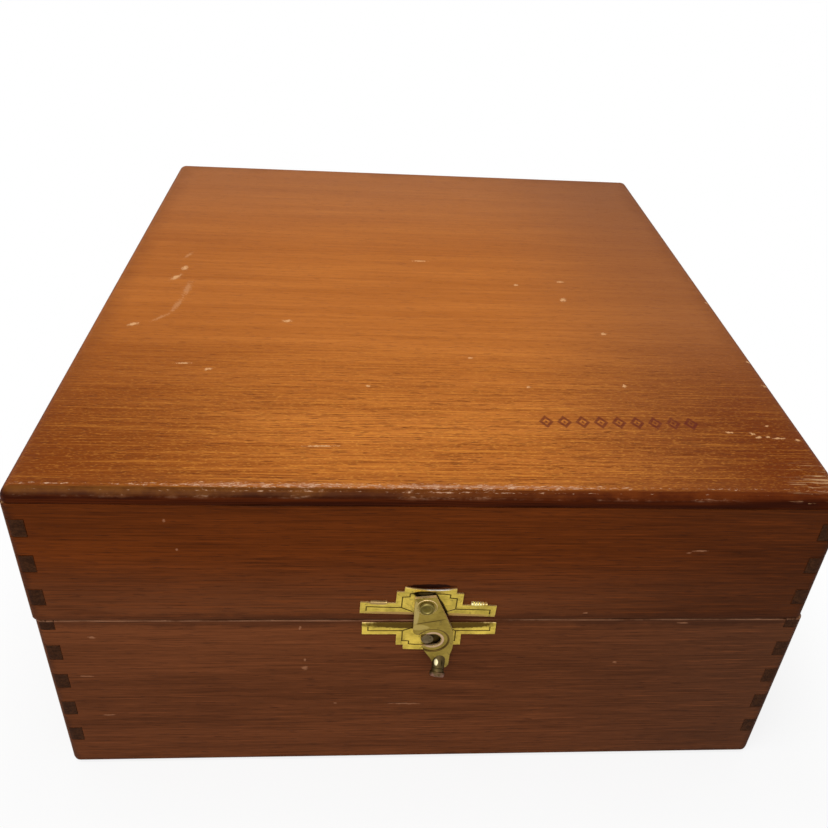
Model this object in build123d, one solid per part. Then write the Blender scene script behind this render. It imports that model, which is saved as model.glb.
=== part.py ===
from build123d import *
import os

os.makedirs("parts", exist_ok=True)

# A hinged wooden cigar box with a brass swing latch.
# Lengths are in millimetres. X runs along the front, Y goes to the back and Z is up.
# The origin is the middle of the underside.

# Box and boards
box_width = 203.0
box_depth = 228.0
base_height = 60.0
lid_height = 42.0
board = 5.0
top_thickness = 3.3
bottom_thickness = 4.0
bottom_rebate = 2.0        # how far the bottom panel reaches into the boards
corner_round = 2.3
foot_round = 2.0
top_round = 3.0
rim_ease = 0.4
lid_shift = 0.6            # the worn hinges let the lid sit this far to the left

# Finger joints. The box is glued up closed and then sawn open, so the fingers run on over the cut.
finger_pitch = 11.43
finger_width = 5.6
first_finger = 10.9        # foot of the lowest finger of the side boards
saw_kerf = 2.5

# Cedar liner, which stands up inside the lid as a lip
liner = 3.0
lip_height = 8.0
lip_clearance = 0.6
lip_ease = 0.8

# Stamped latch plates: two arms, a step and a crown, mirrored about the rim
sheet = 0.6
arm_span = 35.4
arm_height = 4.2
step_span = 17.3
step_height = 4.1
crown_span = 13.4
crown_height = 1.7
groove_inset = 1.6
groove_width = 0.25
groove_depth = 0.15
latch_x = -1.4             # middle of the lid's plate
lid_plate_rise = 2.2       # straight edge of the lid's plate above the rim
lid_plate_tilt = -2.4      # degrees, as seen from the front
base_plate_offset = 0.7    # the base's plate, to the right of the lid's
base_plate_drop = 0.7      # straight edge of the base's plate below the rim
base_plate_tilt = -0.2
prong_width = 4.0
prong_reach = 3.4
prong_spacing = 26.0

# Round boss of the lid's plate, with the rivet that the hook turns on
pivot_offset = -0.5        # from the middle of the lid's plate
pivot_rise = 6.8           # above the rim
boss_rise = 0.6
boss_top_radius = 3.2
boss_foot_radius = 4.4
rivet_radius = 1.1
rivet_head_radius = 1.95
rivet_head_height = 0.9
rivet_dimple_radius = 1.35
rivet_dimple_depth = 0.35
rivet_tail_radius = 1.6
rivet_tail_height = 0.45
running_gap = 0.05

# Hook: flat brass with a joggle, and a throat that opens to the left
hook_sheet = 0.8
joggle = 0.35
joggle_drop = 5.4          # middle of the joggle below the pivot
joggle_length = 1.2
head_left = -3.15
head_top = 3.1
head_slant = 0.6
head_right = 2.2
head_round = 0.7
throat_drop = 12.64        # centre line of the throat below the pivot
throat_radius = 2.19
throat_end_x = 2.25        # centre of the throat's round end
lip_x = -1.6
lip_curve_rise = 1.5       # where the left edge starts to curve, above the throat
jaw_x = -1.05
jaw_rise = 0.28
kink_x = 1.95              # where the lower left edge steepens
kink_drop = 19.6
belly_top_x = 5.8          # the bulging right edge: its top, its widest place and its foot
belly_top_drop = 4.9
belly_x = 7.8
belly_drop = 13.4
belly_foot_x = 7.15
belly_foot_drop = 18.0
tail_left = 3.0
tail_right = 7.0
tail_drop = 22.2
tail_round = 1.6
coin_radius = 4.2          # flattened ring round the end of the throat
coin_depth = 0.25

# Pull knob at the end of the hook, bent down and a little to the left
knob_x = 4.7
knob_drop = 20.7
knob_droop = 46.0
knob_lean = 14.0
knob_pin_radius = 1.0      # the pin that holds the knob in the hook
knob_shank_radius = 1.6
knob_length = 4.2
knob_head_radius = 2.05
knob_head_height = 1.3

# Keeper stud in the base's plate
stud_offset = 0.8          # to the right of the pivot
stud_clearance = 0.49      # between the stud and the throat
stud_height = 1.0
stud_round = 0.3
stud_shank_radius = 1.0
stud_shank_reach = 3.4

# Small brass butt hinges, nailed to the back
hinge_inset = 41.5         # middle of each hinge, from the side of the box
hinge_width = 24.0
leaf_height = 12.0
leaf_thickness = 0.8
leaf_gap = 0.2             # from each leaf to the hinge's axis
knuckle_radius = 1.6
knuckle_gap = 0.15
pin_radius = 0.8
pin_head_radius = 1.3
pin_head_height = 0.5
wood_gap = 0.05            # from the knuckles to the back of the box
nail_radius = 0.5
nail_reach = 3.4
nail_head_radius = 1.1
nail_head_height = 0.4
nail_side = 8.5            # outer nails, from the middle of the leaf
nail_low = 5.2             # outer nails, from the hinge's axis
nail_high = 8.8            # middle nail, from the hinge's axis

# Sizes that follow from the ones above
half_width = box_width / 2
half_depth = box_depth / 2
box_height = base_height + lid_height
frame_top = box_height - top_thickness
inner_x = half_width - board
inner_y = half_depth - board
lip_relief = lid_shift + lip_clearance
hinge_x = half_width - hinge_inset
hinge_axis_y = half_depth + wood_gap + knuckle_radius
boss_front = sheet + boss_rise
hook_back = boss_front + running_gap
hook_front = hook_back + hook_sheet
pivot_x = latch_x + pivot_offset
stud_radius = throat_radius - stud_clearance
front_face = Plane.XZ.offset(half_depth)
upright = (Align.CENTER, Align.CENTER, Align.MIN)


def save(shape, node):
    export_step(shape, f"parts/{node}.step")


def block(x, y, z):
    """A box between two limits along each axis."""
    size = Box(x[1] - x[0], y[1] - y[0], z[1] - z[0], align=(Align.MIN, Align.MIN, Align.MIN))
    return Pos(x[0], y[0], z[0]) * size


def on_front(x, z, off=0.0):
    """A place on the front of the box, off millimetres out of its face."""
    return front_face * Pos(x, z, off)


def finger_spans(low, high, drop=0.0):
    """Heights of the side boards' fingers between two levels of the uncut box, lowered by drop."""
    uncut_top = frame_top + saw_kerf
    spans = []
    foot = first_finger
    while foot + finger_width < uncut_top:
        bottom = max(foot, low)
        top = min(foot + finger_width, high)
        if top - bottom > rim_ease:
            spans.append((bottom - drop, top - drop))
        foot += finger_pitch
    return spans


def corner_fingers(spans, side):
    """Fingers of one side board, at its front and its back end."""
    x = (inner_x, half_width) if side > 0 else (-half_width, -inner_x)
    fingers = []
    for z in spans:
        fingers.append(block(x, (-half_depth, -inner_y), z))
        fingers.append(block(x, (inner_y, half_depth), z))
    return fingers


def frame_boards(z, spans, envelope):
    """The four boards of the base or of the lid, keyed by the side that they stand on."""
    boards = {}
    all_fingers = corner_fingers(spans, -1) + corner_fingers(spans, 1)
    for name, y in (("front", (-half_depth, -inner_y)), ("back", (inner_y, half_depth))):
        boards[name] = (block((-half_width, half_width), y, z) - all_fingers) & envelope
    for name, side in (("left", -1), ("right", 1)):
        x = (inner_x, half_width) if side > 0 else (-half_width, -inner_x)
        boards[name] = (block(x, (-inner_y, inner_y), z) + corner_fingers(spans, side)) & envelope
    return boards


def rounded_case(z):
    """The outer shape between two heights, with its upright corners rounded."""
    case = block((-half_width, half_width), (-half_depth, half_depth), z)
    return fillet(case.edges().filter_by(Axis.Z), corner_round)


def base_wood():
    """Boards and bottom panel of the base. The panel lies in a rebate, flush with the underside."""
    envelope = rounded_case((0, base_height))
    envelope = fillet(envelope.edges().group_by(Axis.Z)[0], foot_round)
    envelope = chamfer(envelope.edges().group_by(Axis.Z)[-1], rim_ease)
    panel_x = inner_x + bottom_rebate
    panel_y = inner_y + bottom_rebate
    panel = block((-panel_x, panel_x), (-panel_y, panel_y), (0, bottom_thickness))
    boards = frame_boards((0, base_height), finger_spans(0, base_height), envelope)
    return {name: shape - panel for name, shape in boards.items()}, panel


def lid_wood():
    """Boards and top panel of the lid. The panel lies on the boards and has a rounded upper edge."""
    envelope = rounded_case((base_height, frame_top))
    envelope = chamfer(envelope.edges().group_by(Axis.Z)[0], rim_ease)
    sawn = base_height + saw_kerf
    spans = finger_spans(sawn, frame_top + saw_kerf, drop=saw_kerf)
    boards = frame_boards((base_height, frame_top), spans, envelope)
    panel = rounded_case((frame_top, box_height))
    panel = fillet(panel.edges().group_by(Axis.Z)[-1], top_round)
    shift = Pos(-lid_shift, 0, 0)
    return {name: shift * shape for name, shape in boards.items()}, shift * panel


def liner_strips():
    """Four thin strips inside the base. Above the rim they stand back from the lid."""
    lip_top = base_height + lip_height
    z = (bottom_thickness, lip_top)
    inside = block((-inner_x + liner, inner_x - liner), (-inner_y + liner, inner_y - liner), z)
    ring = block((-inner_x, inner_x), (-inner_y, inner_y), z) - inside
    lip_x_limit = inner_x - lip_relief
    lip_y_limit = inner_y - lip_relief
    above = (base_height, lip_top)
    lip = block((-lip_x_limit, lip_x_limit), (-lip_y_limit, lip_y_limit), above)
    lip = chamfer(lip.edges().group_by(Axis.Z)[-1], lip_ease)
    below = block((-inner_x, inner_x), (-inner_y, inner_y), (bottom_thickness, base_height))
    ring = ring & (below + lip)
    strips = {}
    for name, y in (("front", (-inner_y, -inner_y + liner)), ("back", (inner_y - liner, inner_y))):
        strips[name] = ring & block((-inner_x, inner_x), y, z)
    between = (-inner_y + liner, inner_y - liner)
    strips["left"] = ring & block((-inner_x, -inner_x + liner), between, z)
    strips["right"] = ring & block((inner_x - liner, inner_x), between, z)
    return strips


def plate_outline():
    """Stepped outline of a latch plate, upright from its straight edge."""
    arms = Pos(0, arm_height / 2) * Rectangle(arm_span, arm_height)
    step_top = arm_height + step_height
    step = Pos(0, step_top / 2) * Rectangle(step_span, step_top)
    crown_top = step_top + crown_height
    crown = Pos(0, crown_top / 2) * Rectangle(crown_span, crown_top)
    return arms + step + crown


def latch_plate():
    """A flat plate with an engraved line inside its edge and two prongs that go into the wood."""
    outline = plate_outline()
    line = offset(outline, -groove_inset, kind=Kind.INTERSECTION)
    line -= offset(outline, -groove_inset - groove_width, kind=Kind.INTERSECTION)
    plate = extrude(outline, sheet) - Pos(0, 0, sheet - groove_depth) * extrude(line, groove_depth)
    reach = prong_reach + sheet
    for side in (-1, 1):
        prong = Box(prong_width, sheet, reach, align=(Align.CENTER, Align.MAX, Align.MIN))
        plate += Pos(side * prong_spacing / 2, arm_height, -prong_reach) * prong
    return plate


def lid_plate():
    """The lid's plate, pressed out round the rivet into a hollow boss."""
    place = on_front(latch_x, base_height + lid_plate_rise) * Rot(0, 0, lid_plate_tilt)
    at_pivot = on_front(pivot_x, base_height + pivot_rise)
    outer = Cone(boss_foot_radius, boss_top_radius, boss_rise, align=upright)
    hollow = Cone(boss_foot_radius - sheet / 2, boss_top_radius - sheet / 2, boss_rise, align=upright)
    plate = place * latch_plate() + at_pivot * Pos(0, 0, sheet) * outer
    hole = Cylinder(rivet_radius + running_gap, boss_front, align=upright)
    return plate - at_pivot * hollow - at_pivot * hole


def base_plate():
    """The base's plate hangs upside down below the rim and holds the stud."""
    place = on_front(latch_x + base_plate_offset, base_height - base_plate_drop)
    return place * Rot(0, 0, 180 + base_plate_tilt) * latch_plate()


def pivot_rivet():
    """A rivet with a dimpled head. Its tail is spread behind the boss."""
    head_foot = hook_front + running_gap
    rivet = Cylinder(rivet_tail_radius, rivet_tail_height, align=upright)
    rivet += Cylinder(rivet_radius, head_foot, align=upright)
    head = Cylinder(rivet_head_radius, rivet_head_height, align=upright)
    head = fillet(head.edges().group_by(Axis.Z)[-1], rivet_head_height / 3)
    dimple = Cylinder(rivet_dimple_radius, rivet_dimple_depth, align=upright)
    head -= Pos(0, 0, rivet_head_height - rivet_dimple_depth) * dimple
    rivet += Pos(0, 0, head_foot) * head
    return on_front(pivot_x, base_height + pivot_rise) * rivet


def hook_outline():
    """The hook from the front, measured from its pivot."""
    throat_top = -throat_drop + throat_radius
    throat_foot = -throat_drop - throat_radius
    throat_start = (throat_end_x, throat_top)
    throat_middle = (throat_end_x + throat_radius, -throat_drop)
    throat_stop = (throat_end_x, throat_foot)
    lip_start = (head_left, throat_top + lip_curve_rise)
    lip_end = (lip_x, throat_top)
    jaw = (jaw_x, throat_foot + jaw_rise)
    tail_start = (tail_left, -tail_drop)
    tail_middle = ((tail_left + tail_right) / 2, -tail_drop - tail_round)
    tail_end = (tail_right, -tail_drop)
    belly_foot = (belly_foot_x, -belly_foot_drop)
    belly_top = (belly_top_x, -belly_top_drop)
    head_corner = (head_left, head_top)
    head_end = (head_right, head_top + head_slant)
    edge = [
        Line(head_corner, lip_start),
        TangentArc(lip_start, lip_end, tangent=(0, -1)),
        Line(lip_end, throat_start),
        ThreePointArc(throat_start, throat_middle, throat_stop),
        Polyline(throat_stop, jaw, (kink_x, -kink_drop), tail_start),
        ThreePointArc(tail_start, tail_middle, tail_end),
        Line(tail_end, belly_foot),
        ThreePointArc(belly_foot, (belly_x, -belly_drop), belly_top),
        Polyline(belly_top, head_end, head_corner),
    ]
    face = make_face(edge)
    corners = face.vertices().sort_by_distance(head_corner)[:1]
    corners += face.vertices().sort_by_distance(head_end)[:1]
    return fillet(corners, head_round)


def hook():
    """Sheet brass, set back below the joggle, so that its lower half runs just clear of the plates."""
    blank = extrude(hook_outline(), hook_front)
    upper = -joggle_drop + joggle_length / 2
    lower = -joggle_drop - joggle_length / 2
    top = head_top + head_slant
    foot = -tail_drop - tail_round
    low_back = hook_back - joggle
    low_front = hook_front - joggle
    side = Polyline((hook_back, top), (hook_back, upper), (low_back, lower), (low_back, foot),
                    (low_front, foot), (low_front, lower), (hook_front, upper), (hook_front, top), close=True)
    # The side view is drawn with X as the distance out of the face, and turned to stand beside the blank.
    section = Plane(origin=(0, 0, 0), x_dir=(0, 0, 1), z_dir=(-1, 0, 0)) * make_face(side)
    bent = extrude(section, belly_x * 2, both=True)
    shape = blank & bent
    shape -= Cylinder(rivet_radius + running_gap, hook_front + running_gap, align=upright)
    coin = Cylinder(coin_radius, hook_sheet, align=upright)
    coin = Pos(throat_end_x, -throat_drop, low_front - coin_depth) * coin
    return on_front(pivot_x, base_height + pivot_rise) * (shape - coin)


def pull_knob():
    """A turned knob with a flat head. Its slanting foot stands on the hook, and its pin goes through."""
    spare = 2 * knob_shank_radius
    shank = Pos(0, 0, -spare) * Cylinder(knob_shank_radius, spare + knob_length, align=upright)
    head = Cylinder(knob_head_radius, knob_head_height, align=upright)
    head = fillet(head.edges().group_by(Axis.Z)[-1], knob_head_height / 4)
    leaning = Rot(knob_droop, -knob_lean, 0) * (shank + Pos(0, 0, knob_length - knob_head_height) * head)
    behind = Box(4 * spare, 4 * spare, 2 * spare, align=(Align.CENTER, Align.CENTER, Align.MAX))
    pin = Pos(0, 0, -hook_sheet) * Cylinder(knob_pin_radius, hook_sheet, align=upright)
    root = hook_front - joggle
    at_tail = on_front(pivot_x + knob_x, base_height + pivot_rise - knob_drop, root)
    return at_tail * (leaning - behind + pin)


def keeper_stud():
    """The stud that the hook's throat slips over. Its shank is driven into the front board."""
    body = Cylinder(stud_radius, stud_height, align=upright)
    body = fillet(body.edges().group_by(Axis.Z)[-1], stud_round)
    stud = Pos(0, 0, sheet) * body
    shank = Cylinder(stud_shank_radius, stud_shank_reach + sheet, align=upright)
    stud += Pos(0, 0, -stud_shank_reach) * shank
    return on_front(pivot_x + stud_offset, base_height + pivot_rise - throat_drop) * stud


def hinge_leaf(up, own, others):
    """One leaf and its knuckles, about the hinge's axis. up is 1 for the lid's leaf, -1 for the base's."""
    face = -knuckle_radius - wood_gap
    z = (leaf_gap, leaf_height) if up > 0 else (-leaf_height, -leaf_gap)
    leaf = block((-hinge_width / 2, hinge_width / 2), (face, face + leaf_thickness), z)
    room = knuckle_radius + knuckle_gap
    for start, end in others:
        way = Pos((start + end) / 2, 0, 0) * Rot(0, 90, 0) * Cylinder(room, end - start + 2 * knuckle_gap)
        leaf -= way
    for start, end in own:
        leaf += Pos((start + end) / 2, 0, 0) * Rot(0, 90, 0) * Cylinder(knuckle_radius, end - start)
    return leaf - Rot(0, 90, 0) * Cylinder(pin_radius + running_gap, hinge_width)


def hinge_pin():
    """A pin with a flat head at each end."""
    pin = Cylinder(pin_radius, hinge_width)
    head = Cylinder(pin_head_radius, pin_head_height)
    for side in (-1, 1):
        pin += Pos(0, 0, side * (hinge_width + pin_head_height) / 2) * head
    return Rot(0, 90, 0) * pin


def nail():
    """A short nail with a low domed head, its head towards +Z."""
    head = Cylinder(nail_head_radius, nail_head_height, align=upright)
    head = fillet(head.edges().group_by(Axis.Z)[-1], nail_head_height / 2)
    return head + Cylinder(nail_radius, nail_reach, align=(Align.CENTER, Align.CENTER, Align.MAX))


def leaf_nails(up):
    """Three nails for each leaf of one kind, for both hinges. Their shanks go through leaf and board."""
    nails = []
    back = Plane(origin=(0, half_depth + leaf_thickness, base_height), x_dir=(-1, 0, 0), z_dir=(0, 1, 0))
    for middle in (-hinge_x, hinge_x):
        for x, z in ((-nail_side, nail_low), (nail_side, nail_low), (0, nail_high)):
            nails.append(back * Pos(-middle - x, up * z, 0) * nail())
    return Compound(nails)


base_boards, bottom_panel = base_wood()
lid_boards, top_panel = lid_wood()
strips = liner_strips()
upper_plate = lid_plate()
lower_plate = base_plate()
stud = keeper_stud()
base_nails = leaf_nails(-1)
lid_nails = leaf_nails(1)

# The plates' prongs, the stud and the nails are driven into the boards.
lower_plate -= stud
base_boards["front"] -= [lower_plate, stud]
lid_boards["front"] -= upper_plate
base_boards["back"] -= base_nails
lid_boards["back"] -= lid_nails

for name, shape in base_boards.items():
    save(shape, f"base_{name}_board")
save(bottom_panel, "base_bottom_panel")
for name, shape in strips.items():
    save(shape, f"liner_{name}")
for name, shape in lid_boards.items():
    save(shape, f"lid_{name}_board")
save(top_panel, "lid_top_panel")

save(lower_plate, "latch_base_plate")
save(stud, "latch_keeper_stud")
save(upper_plate, "latch_lid_plate")
save(pivot_rivet(), "latch_pivot_rivet")
knob = pull_knob()
save(hook() - knob, "latch_hook")
save(knob, "latch_pull_knob")

middle_end = hinge_width / 6 - knuckle_gap / 2
outer_start = middle_end + knuckle_gap
middle_knuckle = [(-middle_end, middle_end)]
outer_knuckles = [(-hinge_width / 2, -outer_start), (outer_start, hinge_width / 2)]
for name, x in (("left", -hinge_x), ("right", hinge_x)):
    at_axis = Pos(x, hinge_axis_y, base_height)
    save(at_axis * hinge_leaf(-1, outer_knuckles, middle_knuckle) - base_nails, f"hinge_{name}_base_leaf")
    save(at_axis * hinge_leaf(1, middle_knuckle, outer_knuckles) - lid_nails, f"hinge_{name}_lid_leaf")
    save(at_axis * hinge_pin(), f"hinge_{name}_pin")
save(base_nails, "hinge_base_nails")
save(lid_nails, "hinge_lid_nails")
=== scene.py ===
import math

import bpy
from mathutils import Matrix, Vector, noise


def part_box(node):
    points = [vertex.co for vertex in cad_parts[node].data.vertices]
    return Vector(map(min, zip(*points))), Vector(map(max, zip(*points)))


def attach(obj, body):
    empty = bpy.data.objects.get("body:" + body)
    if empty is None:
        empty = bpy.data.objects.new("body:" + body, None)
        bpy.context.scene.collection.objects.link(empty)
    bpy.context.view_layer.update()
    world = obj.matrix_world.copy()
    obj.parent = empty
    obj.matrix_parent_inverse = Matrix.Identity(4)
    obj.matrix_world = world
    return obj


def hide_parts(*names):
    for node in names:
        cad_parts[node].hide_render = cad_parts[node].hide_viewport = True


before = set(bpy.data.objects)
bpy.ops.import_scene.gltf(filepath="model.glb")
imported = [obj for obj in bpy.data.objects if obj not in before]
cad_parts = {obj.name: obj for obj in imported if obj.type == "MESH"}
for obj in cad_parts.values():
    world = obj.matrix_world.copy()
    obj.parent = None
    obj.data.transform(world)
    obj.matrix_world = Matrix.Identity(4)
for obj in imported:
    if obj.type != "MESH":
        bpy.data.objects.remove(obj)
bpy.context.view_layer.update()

# Camera
# It stands before the box, a little left of its middle and well above the lid, and looks down at the latch.
# It is held slightly out of level.
camera_place = (-0.01927, -0.26849, 0.23182)
camera_yaw = math.radians(-5.510)
camera_dip = math.radians(33.582)
camera_roll = math.radians(4.061)
film_width, focal_length = 36.0, 37.238
film_shift = (-0.0208, -0.0149)
camera_turn = Matrix.Rotation(camera_yaw, 4, "Z") @ Matrix.Rotation(math.pi / 2 - camera_dip, 4, "X")
camera_turn = camera_turn @ Matrix.Rotation(camera_roll, 4, "Z")
bpy.ops.object.camera_add(location=camera_place, rotation=camera_turn.to_euler())
camera = bpy.context.object
camera.data.sensor_width = film_width
camera.data.lens = focal_length
camera.data.shift_x, camera.data.shift_y = film_shift
camera.data.clip_start = 0.01
bpy.context.scene.camera = camera

# Boards of the base
# Four boards of a close-grained wood, stained red-brown on the outside and sawn raw on the rim and inside.
# Their corners are finger-jointed and glued, so the end grain of the sides shows on the front.
mm = 0.001
base_low, base_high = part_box("base_front_board")
lid_low, lid_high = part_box("lid_front_board")
board = base_high.y - base_low.y
half_depth = -base_low.y
rim = base_high.z
lid_shift = (lid_low.x + lid_high.x) / 2
half_width = base_high.x
corner_round = 2.3 * mm
foot_round = 2.0 * mm
rim_ease = 0.4 * mm
rim_wear_depth, rim_wear_size, rim_slice = 0.12 * mm, 7 * mm, 4 * mm
finger_pitch = 11.43 * mm
finger_width = 5.6 * mm
first_finger = 10.9 * mm
saw_kerf = 2.5 * mm
joint_gap = 0.06 * mm
arris = 0.16 * mm
near = 0.01 * mm
sides_of_box = ("front", "back", "left", "right")


def add_mesh(primitive, **settings):
    """Adds a basic mesh with nothing else selected, and gives its object."""
    bpy.ops.object.select_all(action="DESELECT")
    primitive(**settings)
    return bpy.context.object


def new_block(name, low, high):
    """A box between two corners, with its object at the origin."""
    size = [b - a for a, b in zip(low, high)]
    middle = [(a + b) / 2 for a, b in zip(low, high)]
    add_mesh(bpy.ops.mesh.primitive_cube_add, size=1, location=middle, scale=size)
    return named(name)


def named(name):
    """The active object under its own name, with its place put into its mesh."""
    piece = bpy.context.object
    piece.name = name
    piece.data.name = name
    bpy.ops.object.transform_apply(location=True, rotation=True, scale=True)
    return piece


def make_active(piece):
    bpy.ops.object.select_all(action="DESELECT")
    piece.select_set(True)
    bpy.context.view_layer.objects.active = piece


def pick(piece, test):
    """Goes into edit mode with the edges selected whose ends pass the test."""
    make_active(piece)
    mesh = piece.data
    bpy.context.tool_settings.mesh_select_mode = (False, True, False)
    for group in (mesh.vertices, mesh.edges, mesh.polygons):
        group.foreach_set("select", [False] * len(group))
    for edge in mesh.edges:
        edge.select = test([mesh.vertices[i].co for i in edge.vertices])
    bpy.ops.object.mode_set(mode="EDIT")


def round_edges(piece, width, steps, test):
    pick(piece, test)
    bpy.ops.mesh.bevel(offset=width, segments=steps, affect="EDGES")
    bpy.ops.object.mode_set(mode="OBJECT")


def change(piece, kind, **settings):
    """Adds a modifier to a piece and applies it."""
    make_active(piece)
    modifier = piece.modifiers.new(kind.lower(), kind)
    for name, value in settings.items():
        setattr(modifier, name, value)
    bpy.ops.object.modifier_apply(modifier=modifier.name)


def cut_away(piece, cutters, operation="DIFFERENCE"):
    """Takes other objects out of a piece, or adds them to it, and deletes them."""
    for cutter in cutters:
        change(piece, "BOOLEAN", operation=operation, solver="EXACT", object=cutter)
        bpy.data.objects.remove(cutter)


def soften(piece, width, angle=50):
    """Rounds each sharp edge of a piece a little, as handling does."""
    change(piece, "BEVEL", width=width, segments=2, limit_method="ANGLE",
           angle_limit=math.radians(angle), use_clamp_overlap=True)


def smooth(piece, angle=40):
    """Shades a piece smoothly but for its sharp edges, with its large faces left looking flat."""
    make_active(piece)
    bpy.ops.object.shade_smooth_by_angle(angle=math.radians(angle))
    change(piece, "WEIGHTED_NORMAL", keep_sharp=True)


def slice_across(piece, axis, places):
    """Cuts rings of edges round a piece, so that its long edges can wear unevenly."""
    make_active(piece)
    bpy.ops.object.mode_set(mode="EDIT")
    direction = [float(i == axis) for i in range(3)]
    for place in places:
        bpy.ops.mesh.select_all(action="SELECT")
        bpy.ops.mesh.bisect(plane_co=[place * d for d in direction], plane_no=direction)
    bpy.ops.object.mode_set(mode="OBJECT")


def steps_between(low, high, step):
    count = max(2, round((high - low) / step))
    return [low + (high - low) * i / count for i in range(1, count)]


def finger_spans(low, high, drop=0.0):
    """Heights of the side boards' fingers between two levels of the uncut case, lowered by drop."""
    spans = []
    foot = first_finger
    while foot + finger_width < lid_high.z + saw_kerf:
        span = max(foot, low), min(foot + finger_width, high)
        if span[1] - span[0] > rim_ease:
            spans.append((span[0] - drop, span[1] - drop))
        foot += finger_pitch
    return spans


def worn_in(piece, amount, size, test):
    """Moves the corners of a mesh that pass the test inwards, more in some places than in others."""
    middle = sum((Vector(corner) for corner in piece.bound_box), Vector()) / 8
    for vertex in piece.data.vertices:
        if test(vertex.co):
            depth = amount * max(0.0, 0.45 + noise.noise(vertex.co / size))
            vertex.co += Vector([depth if m > c else -depth for c, m in zip(vertex.co, middle)])


def frame_board(name, side, low_z, high_z, shift, spans):
    """One board of the base or lid on one side of the box, rounded more at the box's foot."""
    long_way = 0 if side in ("front", "back") else 1
    out_way = 1 - long_way
    sign = -1 if side in ("front", "left") else 1
    outer = half_depth if out_way == 1 else half_width
    reach = half_width if long_way == 0 else half_depth
    low, high = [0, 0, low_z], [0, 0, high_z]
    low[long_way], high[long_way] = -reach, reach
    low[out_way], high[out_way] = sorted((sign * outer, sign * (outer - board)))
    piece = new_block(name, low, high)

    def outside(corner):
        return abs(corner[out_way] - sign * outer) < near

    def inside(corner):
        return abs(corner[out_way] - sign * (outer - board)) < near

    def level(corners, height):
        return all(abs(c.z - height) < near for c in corners) and not all(inside(c) for c in corners)

    def upright(corners):
        return all(outside(c) for c in corners) and abs(corners[0].z - corners[1].z) > board

    round_edges(piece, corner_round, 5, upright)
    low_round, low_steps = (foot_round, 4) if low_z < near else (rim_ease, 2)
    round_edges(piece, low_round, low_steps, lambda corners: level(corners, low_z))
    round_edges(piece, rim_ease, 2, lambda corners: level(corners, high_z))

    heights = [low_z - board] + [z for span in spans for z in span] + [high_z + board]
    notches = spans if long_way == 0 else list(zip(heights[::2], heights[1::2]))
    cutters = []
    for bottom, top in notches:
        for end in (-1, 1):
            low, high = [0, 0, bottom - joint_gap], [0, 0, top + joint_gap]
            low[long_way], high[long_way] = sorted((end * (reach - board - joint_gap), end * (reach + board)))
            low[out_way], high[out_way] = sorted((sign * (outer + board), sign * (outer - 2 * board)))
            cutters.append(new_block("notch", low, high))
    cut_away(piece, cutters)
    soften(piece, arris)
    slice_across(piece, long_way, steps_between(-reach + 1.5 * board, reach - 1.5 * board, rim_slice))
    worn_in(piece, rim_wear_depth, rim_wear_size,
            lambda c: min(abs(c.z - rim), abs(c.z - lid_high.z)) < 0.7 * rim_ease)
    piece.data.transform(Matrix.Translation((shift, 0, 0)))
    smooth(piece)
    return piece


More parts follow.
